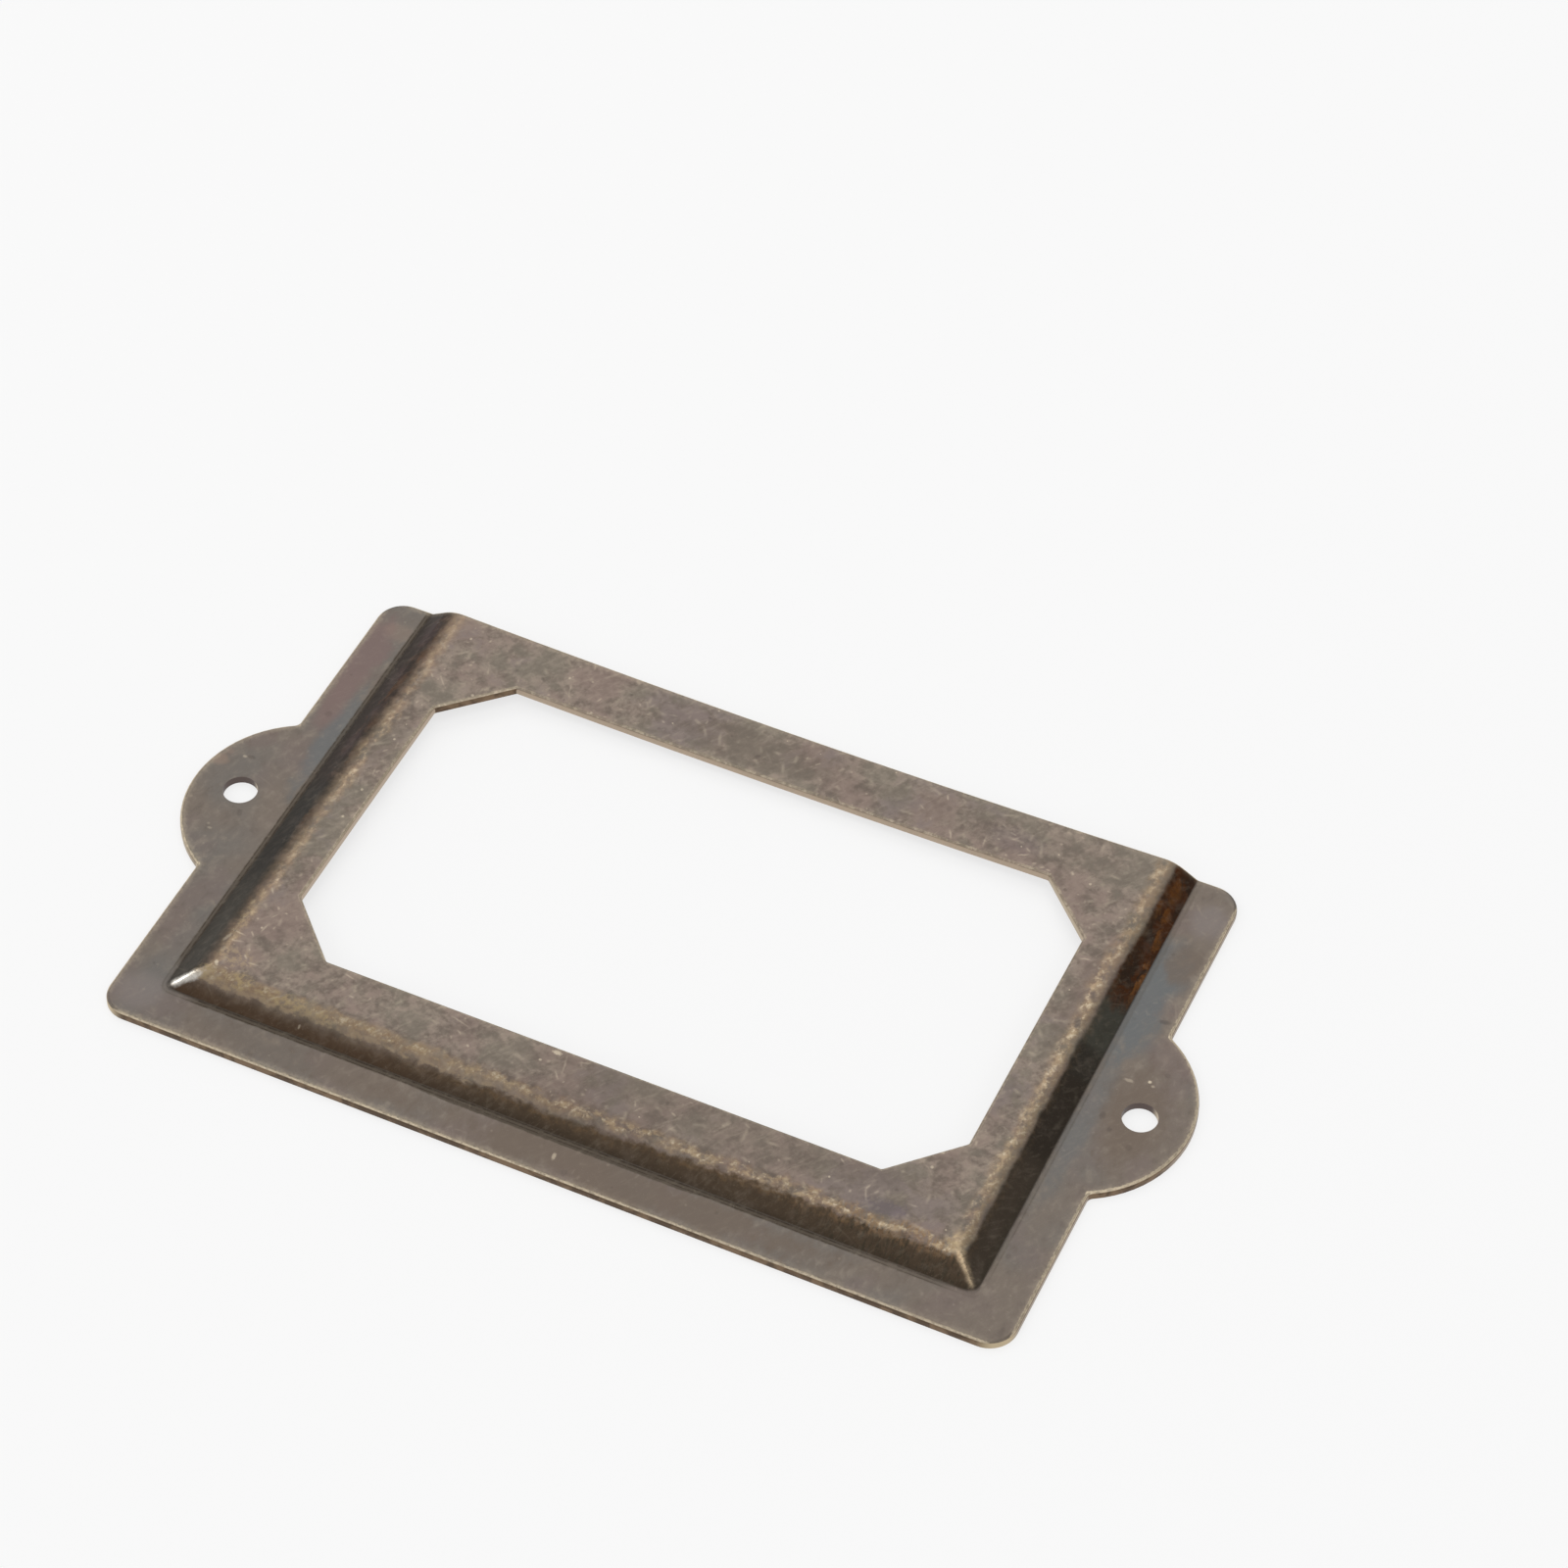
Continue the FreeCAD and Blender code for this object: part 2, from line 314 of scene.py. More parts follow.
def measure(start):
    # where a point of the sheet lies, in mm, and which way it faces
    at = SimpleNamespace()
    metres = start.make("ShaderNodeTexCoord", {}, {}, "Object")
    at.place = shifted(metres, stretch=(1000, 1000, 1000))
    at.x = at.place.make("ShaderNodeSeparateXYZ", {}, {0: at.place}, "X")
    at.y, at.z = at.x.also("Y"), at.x.also("Z")
    at.flat = at.place.make("ShaderNodeCombineXYZ", {}, {"X": at.x, "Y": at.y})
    facing = start.make("ShaderNodeNewGeometry", {}, {}, "Normal")
    at.up = facing.make("ShaderNodeSeparateXYZ", {}, {0: facing}, "Z")
    at.rightward, at.openward = at.up.also("X"), at.up.also("Y")

    # how far in from the slopes' feet, on which slope, and how far along it
    at.endIn = plate["footX"] - abs(at.x)
    at.closedIn = at.y - plate["footY"]
    at.inset = at.endIn.sum("SMOOTH_MIN", at.endIn, at.closedIn, plate["hipBlend"])
    at.onEnd = at.endIn.sum("LESS_THAN", at.endIn, at.closedIn)
    at.onRight = at.x.sum("GREATER_THAN", at.x, 0.0)
    at.along = at.y * at.onEnd + at.x * (1 - at.onEnd)
    at.lay = at.place.make("ShaderNodeCombineXYZ", {}, {
        "X": at.along, "Y": at.inset, "Z": at.onEnd * 40 + at.onRight * 25})
    at.fromHip = (at.endIn - at.closedIn) * math.sqrt(0.5)
    at.rightEnd = at.onRight * at.onEnd
    at.onClosed = 1 - at.onEnd
    at.leftEnd = (1 - at.onRight) * at.onEnd

    # how far beyond the outline, and how far outside the window and the nearer screw hole
    at.wide = abs(at.x)
    at.outline = least(most(at.wide - plate["halfLength"], abs(at.y) - plate["halfWidth"]),
                       spread(at.wide - plate["earMiddle"], at.y) - plate["earRadius"])
    fromMiddle = abs(at.y - plate["windowAt"])
    at.window = most(most(at.wide - plate["windowX"], fromMiddle - plate["windowY"]),
                     (at.wide + fromMiddle - plate["windowCorner"]) * math.sqrt(0.5))
    at.hole = spread(at.wide - plate["holeAt"], at.y) - plate["holeRadius"]
    return at


def onEach(at, name):                        # a setting that differs from slope to slope
    closed, left, right = (slopes[side][name] for side in ("closed", "left", "right"))
    if isinstance(closed, tuple):
        return mix(at.onEnd, closed, mix(at.onRight, left, right))
    return at.onEnd * (at.onRight * (right - left) + (left - closed)) + closed


def layGrain(at):
    # soft noises, each moved by its own amount so that no two line up; the last ones run with the slopes
    grain = SimpleNamespace()
    place, lay = at.place, at.lay
    grain.broad = cloud(place, perMm=0.09)
    grain.broadToo = cloud(shifted(place, (57, 13, 0)), perMm=0.16)
    grain.blotch = cloud(shifted(place, (31, 7, 0)), perMm=0.5, detail=3.0, rough=0.6, swirl=0.4)
    grain.mottle = cloud(shifted(place, (3, 71, 0)), perMm=1.5, detail=4.0, rough=0.62)
    grain.fine = cloud(shifted(place, (11, 5, 0)), perMm=6.0, rough=0.6)
    grain.edgeFray = cloud(shifted(place, (5, 55, 2)), perMm=2.3, detail=4.0, rough=0.7)
    grain.brushed = cloud(shifted(shifted(place, turn=35), (8, 3, 0), (2.4, 0.55, 1)),
                          perMm=1.0, detail=3.0, rough=0.6, swirl=0.2)
    grain.smear = cloud(shifted(place, (2, 41, 0), (0.9, 0.55, 1)),
                        perMm=1.0, detail=4.0, rough=0.62, swirl=0.3)
    grain.clumps = cloud(shifted(lay, stretch=(0.9, 1.2, 1)),
                         perMm=1.0, detail=4.0, rough=0.62, swirl=0.3)
    grain.clump = cloud(shifted(lay, (4, 21, 0), (0.75, 1.2, 1)),
                        perMm=1.0, detail=3.0, rough=0.58, swirl=0.2)
    grain.drift = cloud(shifted(lay, (9, 0, 0), (0.3, 0.12, 1)), perMm=1.0)
    grain.wisps = cloud(shifted(lay, (6, 2, 0), (2.6, 0.8, 1)),
                        perMm=1.0, detail=4.0, rough=0.70, swirl=0.6)
    grain.runs = cloud(shifted(lay, (14, 3, 0), (0.45, 0.9, 1)),
                       perMm=1.0, detail=5.0, rough=0.66, swirl=0.5)
    return grain


def flangeColour(at, grain):                 # smooth toned sheet with slow changes of tint
    colour = mix(ease(grain.broad, 0.42, 0.62), finish["flange"], finish["flangeCool"])
    colour = mix(ease(grain.broadToo, 0.50, 0.68) * laid["flangePlum"], colour, finish["flangePlum"])
    smeared = grain.smear * 0.7 + grain.blotch * 0.3
    colour = mix(ease(smeared, 0.50, 0.70) * laid["flangePale"], colour, finish["flangePale"])
    colour = mix(ease(smeared, 0.50, 0.30) * laid["flangeDim"], colour, finish["flangeDim"])
    swell = (grain.broadToo + grain.smear - 1.0) * 1.1
    for stain in ("flangeBlue", "flangeRose", "flangeBrown", "flangeTan", "flangeCloud"):
        for spot in stains[stain]:
            colour = mix(patch(at.flat, spot, swell), colour, finish[stain])
    return colour


def panelColour(at, grain):                  # tumbled, so more broken up, and warmer
    broken = grain.blotch * 0.55 + grain.mottle * 0.45
    colour = mix(ease(broken, 0.37, 0.63), finish["panelDark"], finish["panelLight"])
    drifting = grain.broadToo * 0.7 + grain.blotch * 0.3
    colour = mix(ease(drifting, 0.49, 0.60) * laid["panelRose"], colour, finish["panelRose"])
    colour = mix(ease(drifting, 0.50, 0.40) * laid["panelOlive"], colour, finish["panelOlive"])
    drifting = grain.broad * 0.7 + grain.blotch * 0.3
    colour = mix(ease(drifting, 0.52, 0.62) * laid["panelMauve"], colour, finish["panelMauve"])
    colour = mix(marks(at.flat, stains["panelDim"], (grain.blotch - 0.5) * 1.2), colour, finish["panelDim"])
    return mix(marks(at.flat, stains["violet"], (grain.mottle - 0.5) * 1.6), colour, finish["violet"])


def rubbedLineOf(at, grain):
    # how far in from the ragged, wandering line to which each slope's coat has been rubbed back
    further = ease(at.x, closedWear["start"], closedWear["end"]) * at.onClosed * closedWear["further"]
    further = further - ease(at.y, *fades["endLine"]) * at.onEnd * 0.12
    further = further + band(at.y, *stretches["rightLine"]) * at.rightEnd * 0.08
    further = further - band(at.y, *stretches["leftLine"]) * at.leftEnd * 0.15
    ragged = (grain.clumps - 0.5) * onEach(at, "fray") * (further + 1.0)
    wandering = (grain.drift - 0.5) * (1.0 - at.rightEnd * 0.6)
    return at.inset - onEach(at, "line") - further + ragged + wandering


# mm in from the foot, or from the rubbed line where that is said: where each tint begins and is full,
# or the middle, half width and softness of its strip; and how far the runs are drawn along and in
coat = dict(middle=(0.0, 0.9), topFromLine=(-1.3, 0.1), redFromLine=(-0.9, 0.1), warm=(2.4, 1.0),
            rustFromLine=(-1.3, 0.5, 0.5), thinFromLine=(-0.15, 0.15, 0.55), runAlong=7.0, runIn=2.0,
            runFray=0.8)


def slopeColour(at, grain, fromLine):        # the dark coat, dark patina and partly painted shade, with its own tint on each slope
    x, y, drift, clumps = at.x, at.y, grain.drift, grain.clumps
    colour = mix(ease(at.inset, *coat["middle"]), onEach(at, "foot"), onEach(at, "middle"))
    colour = mix(ease(fromLine, *coat["topFromLine"]), colour, onEach(at, "top"))

    # the closed slope
    rightPart = ease(x + drift * 24, *fades["closedRight"]) * at.onClosed
    olive = rightPart * ease(grain.wisps, 0.52, 0.42)
    colour = mix(olive * laid["closedOlive"], colour, finish["closedOlive"])
    red = rightPart * ease(fromLine + (grain.wisps - 0.5) * 1.6, *coat["redFromLine"])
    red = red * ease(grain.wisps, 0.44, 0.60)
    colour = mix(red * laid["closedRed"], colour, finish["closedRed"])

    # the left slope, and the warmer left part of the closed one
    olive = ease(y + drift * 8, *fades["leftOlive"]) * at.leftEnd
    colour = mix(olive * laid["leftOlive"], colour, finish["leftOlive"])
    warm = ease(y + drift * 8, *fades["leftWarm"]) * at.leftEnd
    colour = mix(warm * laid["leftWarm"], colour, finish["leftWarm"])
    warm = ease(x, *fades["closedWarm"]) * at.onClosed * ease(at.inset, *coat["warm"])
    colour = mix(warm * laid["closedWarm"], colour, finish["closedWarm"])
    rusty = ease(y + drift * 20, *fades["leftRust"]) * at.leftEnd * ease(clumps, 0.45, 0.60)
    rusty = rusty * band(fromLine, *coat["rustFromLine"])
    colour = mix(rusty * laid["leftRust"], colour, finish["leftRust"])
    runAlong = at.along + (grain.runs - 0.5) * coat["runAlong"]
    runIn = at.inset + (grain.runs - 0.5) * coat["runIn"] + (grain.edgeFray - 0.5) * coat["runFray"]
    run = at.place.make("ShaderNodeCombineXYZ", {}, {"X": runAlong, "Y": runIn})
    for stain in ("leftPlum", "leftAmber"):
        colour = mix(marks(run, stains[stain], 0.0) * at.leftEnd, colour, finish[stain])

    # the right slope, with an old stain towards the open edge
    for tint in ("rightGreen", "rightBlack"):
        stretch = band(y + drift * 8, *stretches[tint]) * at.rightEnd
        colour = mix(stretch * laid[tint], colour, finish[tint])
    oldStain = mix(ease(grain.runs, 0.44, 0.60) * 0.8, finish["oxblood"], finish["soot"])
    for stain in ("amber", "soot"):
        broken = 0.6 + ease(grain.edgeFray, 0.60, 0.42) * 0.4
        oldStain = mix(marks(run, stains[stain], 0.0) * broken, oldStain, finish[stain])
    stained = ease(y + (grain.blotch - 0.5) * 8, *fades["rightStain"]) * at.rightEnd
    colour = mix(stained, colour, oldStain)

    # worn thin just short of the rubbed line, and a little uneven all over
    thin = band(fromLine, *coat["thinFromLine"]) * ease(grain.mottle * 0.4 + clumps * 0.6, 0.44, 0.58)
    colour = mix(thin * (laid["thinCoat"] - at.rightEnd * 0.35), colour, finish["thinCoat"])
    uneven = grain.blotch * 0.6 + clumps * 0.4
    colour = mix(ease(uneven, 0.50, 0.64) * laid["slopeLight"], colour, finish["panelLight"])
    colour = mix(ease(uneven, 0.50, 0.36) * laid["slopeDim"], colour, finish["crease"])
    return mix(ease(grain.brushed, 0.50, 0.70) * laid["slopeBrushed"], colour, finish["panelLight"])


# mm: how far in from the foot wear may begin, the strip just past the rubbed line, the crest's reach, and
# how much more widely the haze lies than the clumps, how far they wander and how softly the sheen ends
bends = dict(offFoot=(0.8, 1.4), rubbed=(0.18, 0.08, 0.22), crest=(0.55, 0.05), hazeWider=0.4, wander=0.9,
             sheenEnd=0.9)


def wearAndSheenOnBends(at, grain, fromLine, closedLeft, base):
    # the bends above the slopes, rubbed pale and partly given a painted highlight, with clumps of bare
    # brass along them
    x, y, clump, edgeFray = at.x, at.y, grain.clump, grain.edgeFray
    paleAway = at.onClosed * ease(x, closedWear["paleTo"], closedWear["paleFrom"]) * closedWear["pale"]
    offFoot = ease(at.inset, *bends["offFoot"])
    # the sheen band: partly rubbed brass, partly a painted highlight of the bend
    begun = ease(fromLine, -0.1 - closedLeft * 0.3, closedLeft * 0.5 + 0.4)
    reached = fromLine + (grain.mottle - 0.5) + paleAway
    rubAndSheen = begun * ease(reached, onEach(at, "reach"), onEach(at, "reach") - bends["sheenEnd"]) * offFoot
    base = mix(rubAndSheen * (onEach(at, "rubAndSheen") - closedLeft * 0.04) * (1 - paleAway), base, finish["rubAndSheen"])

    # a brown haze round the clumps, a pale crest in the sheen's tone, likewise partly a painted highlight,
    # and then the clumps themselves
    nearer = at.onClosed * closedWear["nearer"] * ease(x, closedWear["end"], closedWear["start"])
    goldAt = abs(fromLine - onEach(at, "gold") + (grain.drift - 0.5) * bends["wander"] - nearer)
    fringe = ease(x + (clump - 0.5) * 10, *fades["closedFringe"]) * at.onClosed
    clumped = grain.blotch * 0.5 + clump * 0.5
    clumped = clumped + (grain.wisps - clumped) * fringe
    haze = ease(goldAt, onEach(at, "wide") + bends["hazeWider"], 0.1) * ease(clumped, 0.38, 0.56) * offFoot
    hazeTone = mix(ease(grain.mottle, 0.42, 0.58), finish["brassRed"], finish["brassDeep"])
    hazeTone = mix(fringe * 0.8, hazeTone, finish["brassAmber"])
    hazeTone = mix(ease(y, *fades["rightHaze"]) * at.rightEnd * 0.6, hazeTone, finish["brassAmber"])
    base = mix(haze * (fringe * 0.2 + closedLeft * 0.2 + 0.45), base, hazeTone)
    rubbed = band(fromLine, *bends["rubbed"]) * ease(x, *fades["rubbedLine"]) * at.onClosed
    base = mix(rubbed * ease(clump, 0.40, 0.54) * laid["rubbedLine"], base, finish["brass"])
    crest = ease(goldAt, *bends["crest"]) * ease(clump * 0.5 + grain.blotch * 0.5, 0.36, 0.52) * offFoot
    base = mix(crest * onEach(at, "crest"), base, finish["rubAndSheen"])
    leftDull = ease(y, *fades["leftDull"]) * 0.55 + band(y, *stretches["leftDull"]) * 0.4
    rightDull = ease(y, *fades["rightDull"]) * 0.45
    bright = offFoot * (1 - leftDull * at.leftEnd - rightDull * at.rightEnd)
    gold = ease(goldAt, onEach(at, "wide"), 0.05) * ease(clump * 0.7 + edgeFray * 0.3, 0.43, 0.60) * bright
    base = mix(gold * onEach(at, "shine"), base, finish["brass"])
    glint = gold * ease(edgeFray * 0.6 + grain.brushed * 0.4, 0.49, 0.61)
    return mix(glint * (onEach(at, "shine") + 0.05), base, finish["brassPale"]), gold


# the bare strip along a hip, near white on the left one, where it is bare metal with a painted highlight:
# how it leans to the closed side, its half width at the foot and how fast it widens, what the right one has
# less and more, how ragged its edges are, and where it begins and ends
hips = dict(lean=0.17, half=0.24, widens=0.06, rightLess=0.22, rightWidens=0.10, ragged=0.5, frayed=0.4,
            begins=(-0.1, 0.5), ends=(3.3, 1.8), rightShorter=0.9, dullFrom=(1.2, 2.6), bare=0.97,
            rightDuller=0.60, rightGlints=0.34)


def wearAndGlintOnHips(at, grain, base):
    # rubbed to bare metal where two slopes meet, the left one more to its closed side; on the left one the
    # bare metal carries a painted highlight, near white at the foot and duller further up
    clump, edgeFray, onRight = grain.clump, grain.edgeFray, at.onRight
    # the strip's colour: bare metal, on the left hip with a painted highlight
    wornAndGlint = mix(ease(at.inset + (clump - 0.5) * 3.0, *hips["dullFrom"]), finish["hip"], finish["hipDull"])
    wornAndGlint = mix(onRight, wornAndGlint, finish["hipWorn"])
    middle = (1 - onRight) * at.inset * hips["lean"]
    half = at.inset * (onRight * hips["rightWidens"] + hips["widens"]) + hips["half"]
    half = half - onRight * hips["rightLess"] + (grain.mottle - 0.5) * 0.2
    away = at.fromHip - middle + (clump - 0.5) * hips["ragged"] + (edgeFray - 0.5) * hips["frayed"]
    away = abs(away) - half
    upperEnd = at.inset - onRight * hips["rightShorter"] + (grain.clumps - 0.5) * 2.0 + (edgeFray - 0.5)
    hip = ease(away, 0.45, -0.30) * ease(at.inset, *hips["begins"]) * ease(upperEnd, *hips["ends"])
    duller = hips["rightDuller"] - ease(edgeFray, 0.44, 0.56) * hips["rightGlints"]
    base = mix(hip * (hips["bare"] - onRight * duller), base, wornAndGlint)
    gilt = marks(at.flat, stains["gilt"], (edgeFray - 0.5) * 2.2)
    gilt = gilt * ease(edgeFray * 0.5 + grain.mottle * 0.5, 0.45, 0.58)
    return mix(gilt, base, finish["brassGilt"]), hip


# mm in from the foot: the shaded bend's outer and inner edge, its two creases and the line at the foot
# itself; and from a hip's own foot, how far off the shade begins and is full
feet = dict(outer=(-0.74, -0.50), inner=(0.02, -0.05), outerCrease=(-0.50, 0.0, 0.10),
            innerCrease=(-0.12, 0.02, 0.12), line=(0.02, 0.03, 0.10), hipSide=0.3, fromHip=(2.2, 5.0))


def shadeFeet(at, grain, base):
    # the bend outside the slopes' feet, with a fine crease at each side of it
    x, y, inset = at.x, at.y, at.inset
    offHip = ease(spread(at.endIn + feet["hipSide"], at.closedIn + feet["hipSide"]), *feet["fromHip"])
    shade = onEach(at, "shade") * (offHip * 0.75 + 0.25) * (
        1 - ease(x, *fades["closedShade"]) * at.onClosed * 0.45)
    wider = band(x, 0.0, closedWear["shadeHalf"], 5.0) * at.onClosed * closedWear["shadeWider"]
    bend = ease(inset + wider + (grain.mottle - 0.5) * 0.3, *feet["outer"]) * ease(inset, *feet["inner"])
    base = mix(bend * shade, base, finish["footShade"])
    creased = most(band(inset, *feet["outerCrease"]), band(inset, *feet["innerCrease"]))
    creased = creased * ease(grain.mottle * 0.5 + grain.clumps * 0.5, 0.38, 0.56)
    creased = creased * (laid["crease"] - ease(y, *fades["rightCrease"]) * at.rightEnd * 0.8)
    base = mix(creased * shade, base, finish["crease"])
    footLine = laid["footLine"] - ease(y, *fades["rightFoot"]) * at.rightEnd * 0.35
    return mix(band(inset, *feet["line"]) * footLine, base, finish["crease"])


def scratchAndFleck(at, grain, fromLine, base):
    # in looser and denser places, a little bent where the metal is clumped, and more on the panel
    sway = (grain.clump - 0.5) * 0.3
    bowed = at.place.make("ShaderNodeCombineXYZ", {}, {"X": at.x + sway, "Y": at.y - sway, "Z": at.z})
    onPanel = ease(fromLine, 0.0, 0.4) * ease(at.inset, *bends["offFoot"])

    def strength(kind):
        more, elsewhere = markShares[kind]
        return onPanel * more + elsewhere

    def strongest(rows):
        shown = hairScratches(bowed, *rows[0])
        for row in rows[1:]:
            shown = most(shown, hairScratches(bowed, *row))
        return shown

    base = mix(strongest(scratches["smudges"]) * strength("smudges"), base, finish["brassPale"])
    base = mix(ease(grain.brushed, 0.52, 0.68) * strength("brushed"), base, finish["brassPale"])
    loose = ease(grain.broadToo * 0.6 + grain.blotch * 0.4, 0.44, 0.60) * 0.85 + 0.15
    scratch = strongest(scratches["hairs"]) * loose * strength("hairs")
    base = mix(scratch, base, finish["brassPale"])

    dark = most(marks(at.flat, stains["speck"], grain.fine - 0.5),
                freckles(bowed, *flecks["largeDark"]) * 0.22)
    dark = most(dark, freckles(bowed, *flecks["smallDark"]) * strength("smallDark"))
    base = mix(dark, base, finish["speck"])
    tick = most(marks(at.flat, stains["tick"], grain.fine - 0.5),
                freckles(bowed, *flecks["pale"]) * strength("pale"))
    tick = most(tick, ease(grain.fine, 0.60, 0.78) * laid["gritPale"])
    base = mix(tick, base, finish["brassPale"])
    return mix(ease(grain.fine, 0.40, 0.25) * laid["gritDark"], base, finish["speck"]), scratch


# mm in from a cut edge: the roll, rubbed brass with a painted highlight, how much narrower it is on the
# window and the right side, and the faint paling beside it; the wear and painted highlight of the roll by
# place;
# and the ways that each kind of wall faces, for the walls' painted light and shade
rims = dict(roll=(0.34, 0.17), rollFaces=(0.35, 0.62), windowNarrower=0.06, rightNarrower=0.05,
            beside=(0.95, 0.15), besideFray=1.2, rollFray=0.40, wearAndGlint=0.4, patchy=0.55, windowLess=0.22,
            windowRight=0.4, ear=0.1, rightSide=0.12, corner=0.6)
walls = dict(upright=(0.66, 0.42), right=(0.88, 1.0), left=(0.3, 0.8), straight=(0.80, 0.95),
             nearHole=(0.5, 0.2))


def rimsAndWallsWearAndLight(at, grain, base):
    # rolled rims rubbed to brass and given a painted highlight, most at the ears, the right side and the
    # near right corner, and on window rims that face right
    x, y, edgeFray = at.x, at.y, grain.edgeFray
    cut = least(0 - at.outline, at.window)
    onWindow = at.window.sum("LESS_THAN", at.window, 2.0)
    corner = ease(at.wide, *fades["cornerX"]) * ease(0 - y, *fades["cornerY"])
    rightSide = ease(x, *fades["rightRim"])
    nearEdge = ease(cut + (edgeFray - 0.5) * rims["besideFray"], *rims["beside"])
    nearEdge = nearEdge * (ease(x, *fades["rimNear"]) * 0.12 + 0.10) * (1 - onWindow * 0.7)
    base = mix(nearEdge, base, finish["rim"])
    narrower = most(onWindow * rims["windowNarrower"], rightSide * rims["rightNarrower"])
    rolled = cut + (edgeFray - 0.5) * rims["rollFray"] - narrower
    rim = ease(at.up, *rims["rollFaces"]) * ease(rolled, *rims["roll"])
    wornAndGlint = ease(edgeFray * 0.6 + grain.mottle * 0.4, 0.42 + onWindow * 0.05, 0.54 + onWindow * 0.05)
    onEar = ease(at.wide, plate["halfLength"] - 0.5, plate["halfLength"] + 1.0)
    wearAndGlint = wornAndGlint * (rims["patchy"] - onWindow * 0.15) + rims["wearAndGlint"] - onWindow * rims["windowLess"]
    wearAndGlint = wearAndGlint + onWindow * ease(at.rightward, 0.2, 0.6) * rims["windowRight"]
    wearAndGlint = wearAndGlint * (1 - ease(x, *fades["rimFarX"]) * ease(0 - y, *fades["rimFarY"]) * 0.15)
    wearAndGlint = wearAndGlint + onEar * rims["ear"] + rightSide * rims["rightSide"] + corner * rims["corner"]
    rimTone = mix(ease(edgeFray, 0.5, 0.65), finish["rim"], finish["brassPale"])
    base = mix(rim * least(wearAndGlint, 1.0), base, rimTone)

    # the sheared walls below them, with painted light and shade by the way each faces: paler where they
    # face right or left, on the window where they face the near side or right, and at the near corners;
    # darker in the screw holes
    wallsLitByFacing = mix(ease(grain.blotch, 0.4, 0.6), finish["wall"], finish["wallDark"])
    wallsLitByFacing = mix(ease(at.rightward, *walls["right"]), wallsLitByFacing, finish["litWallRight"])
    wallsLitByFacing = mix(ease(at.hole, *walls["nearHole"]), wallsLitByFacing, finish["shadedWallHole"])
    wallsLitByFacing = mix(ease(0 - at.rightward, *walls["left"]), wallsLitByFacing, finish["litWallLeft"])
    wallsLitByFacing = mix(corner * laid["litWallCorner"], wallsLitByFacing, finish["litWallCorner"])
    straight = most(ease(0 - at.openward, *walls["straight"]), ease(at.rightward, *walls["straight"]))
    wallsLitByFacing = mix(onWindow * straight * laid["litWallWindow"], wallsLitByFacing, finish["litWallWindow"])
    return mix(ease(abs(at.up), *walls["upright"]), base, wallsLitByFacing)


def antiqueBrass(name):
    material = bpy.data.materials.new(name)
    material.use_nodes = True
    tree = material.node_tree
    tree.nodes.clear()
    start = Wire(tree)
    at = measure(start)
    grain = layGrain(at)

    base = mix(ease(at.inset, 1.0, 2.0), flangeColour(at, grain), panelColour(at, grain))
    fromLine = rubbedLineOf(at, grain)
    closedLeft = ease(at.x, *fades["closedLeft"]) * at.onClosed
    soft = onEach(at, "soft") + closedLeft * 0.7
    # the slopes' dark coat: dark patina, and partly painted shade for their darker reflection
    patinaAndShade = ease(at.inset, -0.04, 0.12) * ease(fromLine / soft, 0.8, -1.2)
    base = mix(patinaAndShade, base, slopeColour(at, grain, fromLine))
    base, gold = wearAndSheenOnBends(at, grain, fromLine, closedLeft, base)
    base, hip = wearAndGlintOnHips(at, grain, base)
    base = shadeFeet(at, grain, base)
    base, scratch = scratchAndFleck(at, grain, fromLine, base)
    base = rimsAndWallsWearAndLight(at, grain, base)

    # the back was never rubbed
    clouded = ease(grain.blotch * 0.6 + grain.mottle * 0.4, 0.4, 0.6)
    base = mix(ease(at.up, -0.15, -0.4), base, mix(clouded, finish["back"], finish["flangePlum"]))

    roughness = gloss["rough"] + (grain.fine - 0.5) * gloss["grit"] - most(gold, hip) * gloss["bare"] - (
        scratch * gloss["scratched"]) - patinaAndShade * gloss["patinaAndShade"]
    height = grain.mottle * relief["mottle"] + grain.fine * relief["fine"] + grain.broad * relief["broad"]
    bump = start.make("ShaderNodeBump", {}, {
        "Strength": relief["strength"], "Distance": relief["depth"], "Height": height})
    shader = start.make("ShaderNodeBsdfPrincipled", {}, {
        "Base Color": base, "Metallic": 1.0, "Roughness": roughness, "Normal": bump})
    start.make("ShaderNodeOutputMaterial", {}, {"Surface": shader})
    return material


labelFrame.data.materials[0] = antiqueBrass("antique_brass_finish")
print("antique brass finish laid on the label frame")

studio = dict(
    floorSize=6.0, floorLow=0.00002, floorColour=tone(248, 248, 248), floorShare=0.7, floorGlow=1.02,
    skyLow=0.85, skyHigh=0.48, skyFrom=0.05, skyTo=0.45,
    lamps=(
        # name, where it stands, what it points at, width, height, brightness of its face
        ("back softbox", (-0.26, 0.62, 0.80), (0, 0, 0), 0.75, 0.55, 1.15),
        ("left strip", (-0.98, 0.06, 0.66), (0, 0, 0), 0.18, 0.45, 3.0),
        ("right softbox", (0.84, -0.43, 0.76), (0, 0, 0), 0.40, 0.45, 1.6),
        ("front softbox", (-0.33, -0.89, 0.74), (0, 0, 0), 0.50, 0.40, 1.6),
        ("top softbox", (0.10, -0.10, 1.30), (0, 0, 0), 0.80, 0.80, 1.1),
    ))


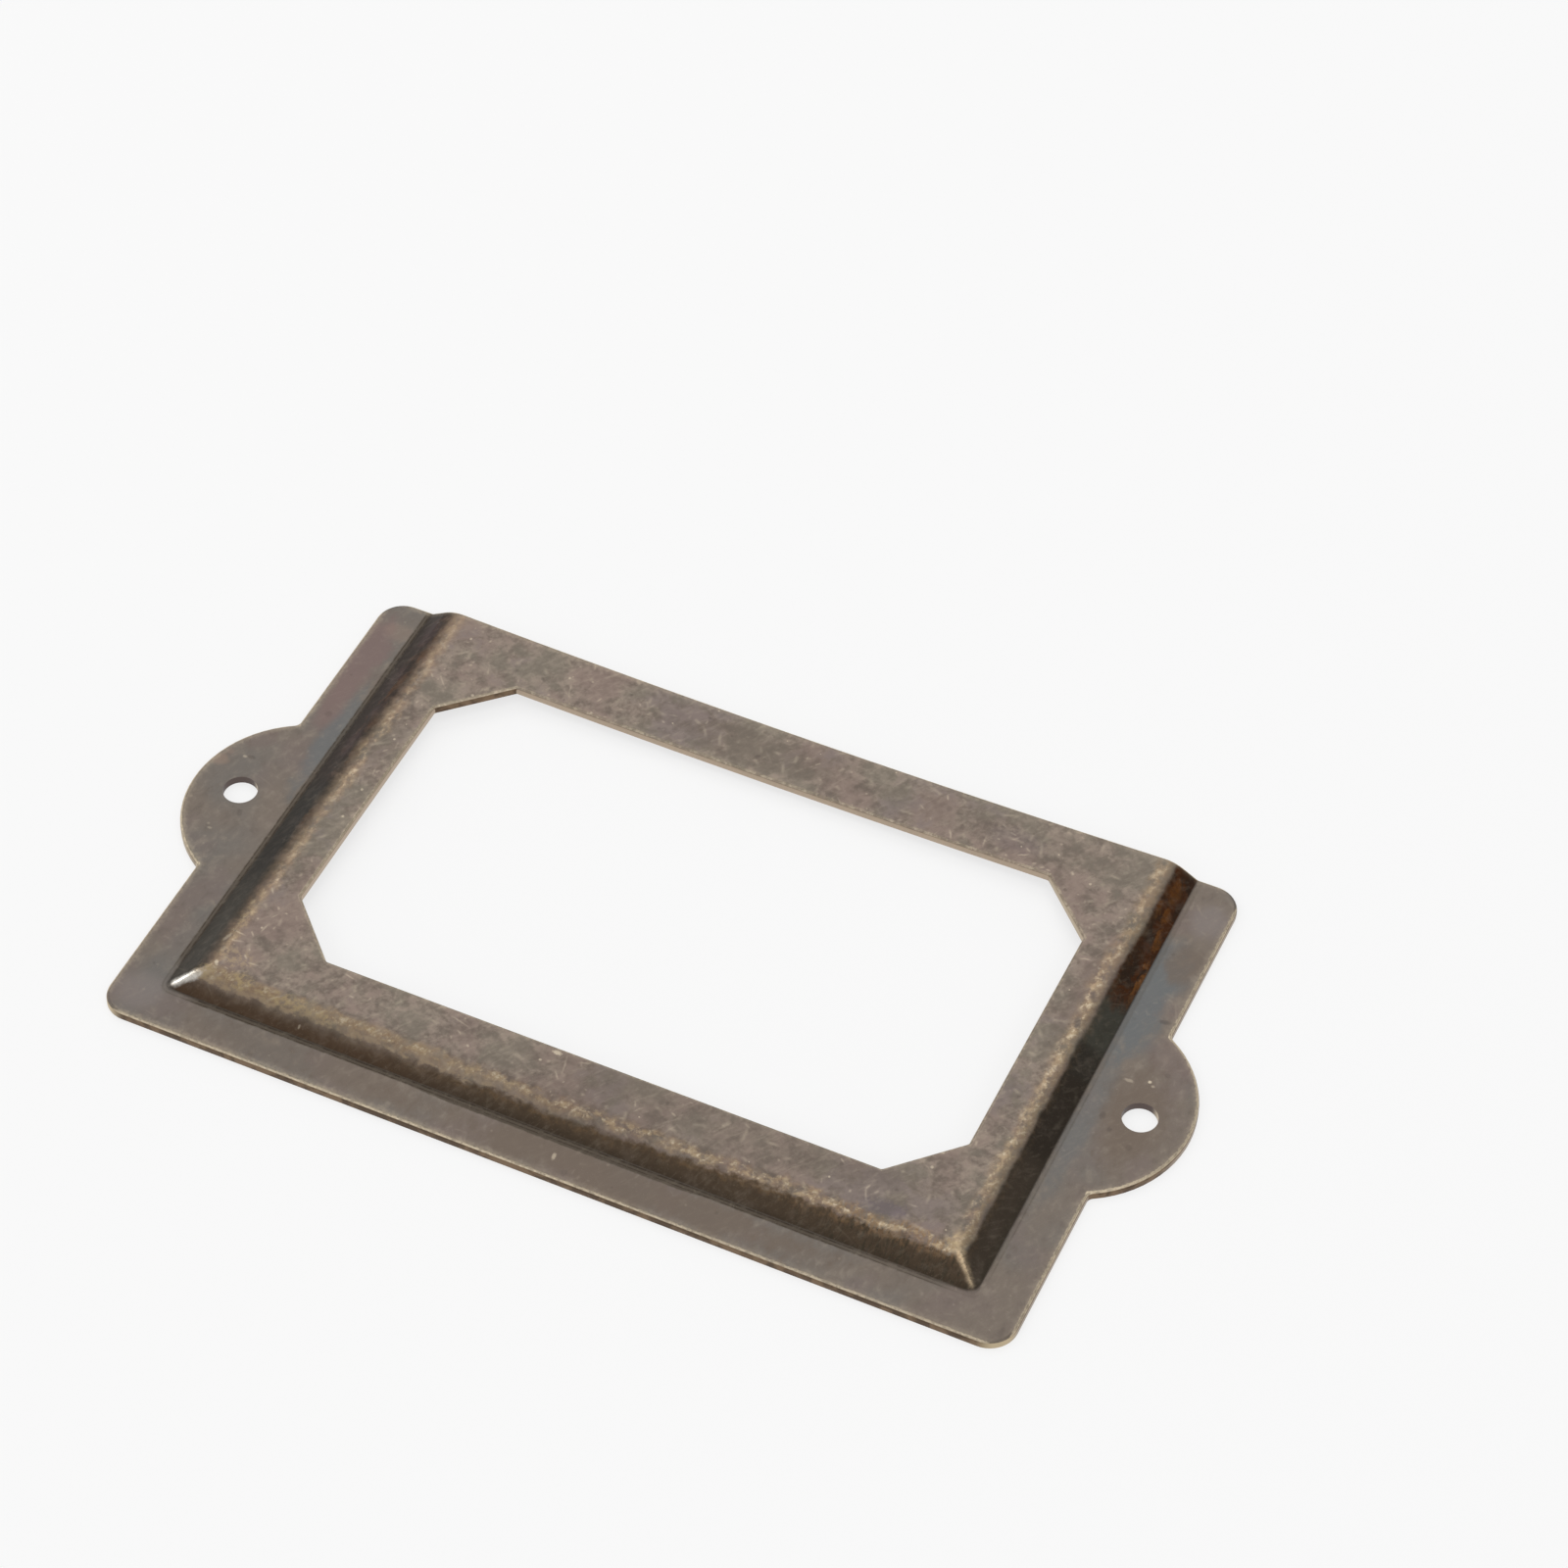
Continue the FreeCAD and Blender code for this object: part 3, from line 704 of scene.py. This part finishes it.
def layFloor(studio):
    bpy.ops.mesh.primitive_plane_add(size=studio["floorSize"], location=(0, 0, -studio["floorLow"]))
    floor = bpy.context.active_object
    floor.name = "studio_floor"
    material = bpy.data.materials.new("studio_floor")
    material.use_nodes = True
    tree = material.node_tree
    tree.nodes.clear()
    start = Wire(tree)
    light = start.make("ShaderNodeLightPath", {}, {}, "Is Camera Ray")
    seen = most(most(light, light.also("Is Glossy Ray")), light.also("Is Transmission Ray"))
    cloth = start.make("ShaderNodeBsdfDiffuse", {}, {"Color": studio["floorColour"]})
    glow = start.make("ShaderNodeEmission", {}, {"Color": (1, 1, 1, 1), "Strength": studio["floorGlow"]})
    both = start.make("ShaderNodeMixShader", {}, {0: seen * studio["floorShare"], 1: cloth, 2: glow})
    start.make("ShaderNodeOutputMaterial", {}, {"Surface": both})
    floor.data.materials.append(material)


def hangSky(studio):                         # brighter at the horizon than overhead
    world = bpy.data.worlds.new("studio")
    world.use_nodes = True
    bpy.context.scene.world = world
    tree = world.node_tree
    tree.nodes.clear()
    start = Wire(tree)
    ray = start.make("ShaderNodeTexCoord", {}, {}, "Generated")
    height = ray.make("ShaderNodeSeparateXYZ", {}, {0: ray}, "Z")
    share = ease(height, studio["skyFrom"], studio["skyTo"])
    level = studio["skyLow"] + share * (studio["skyHigh"] - studio["skyLow"])
    sky = start.make("ShaderNodeBackground", {}, {"Color": (1, 1, 1, 1), "Strength": level})
    start.make("ShaderNodeOutputWorld", {}, {"Surface": sky})


def standLamps(studio):
    for name, stand, target, width, tall, brightness in studio["lamps"]:
        lamp = bpy.data.lights.new(name, "AREA")
        lamp.shape = "RECTANGLE"
        lamp.size, lamp.size_y = width, tall
        lamp.energy = brightness * math.pi * width * tall
        holder = bpy.data.objects.new(name, lamp)
        bpy.context.scene.collection.objects.link(holder)
        holder.location = stand
        aim = [t - a for t, a in zip(target, stand)]
        turn = math.atan2(aim[1], aim[0])
        tip = math.atan2(math.hypot(aim[0], aim[1]), -aim[2])
        holder.rotation_euler = (tip, 0, turn - math.pi / 2)


layFloor(studio)
hangSky(studio)
standLamps(studio)
print("studio floor, sky and lamps set")

# where the camera stands, mm, how it is turned, degrees, and its lens on a 36 mm sensor
shot = dict(at=(137.031, -279.655, 371.184), turned=(42.0643, -0.6340, 24.8494), lens=108.562,
            sensor=36.0, near=0.01, far=50.0)


def setCamera(shot):
    camera = bpy.data.cameras.new("shot")
    camera.sensor_width = shot["sensor"]
    camera.sensor_fit = "HORIZONTAL"
    camera.lens = shot["lens"]
    camera.clip_start = shot["near"]
    camera.clip_end = shot["far"]
    holder = bpy.data.objects.new("shot", camera)
    bpy.context.scene.collection.objects.link(holder)
    holder.location = [v / 1000 for v in shot["at"]]
    holder.rotation_euler = [math.radians(a) for a in shot["turned"]]
    bpy.context.scene.camera = holder
    bpy.context.scene.view_settings.view_transform = "Standard"


setCamera(shot)
print("camera set")
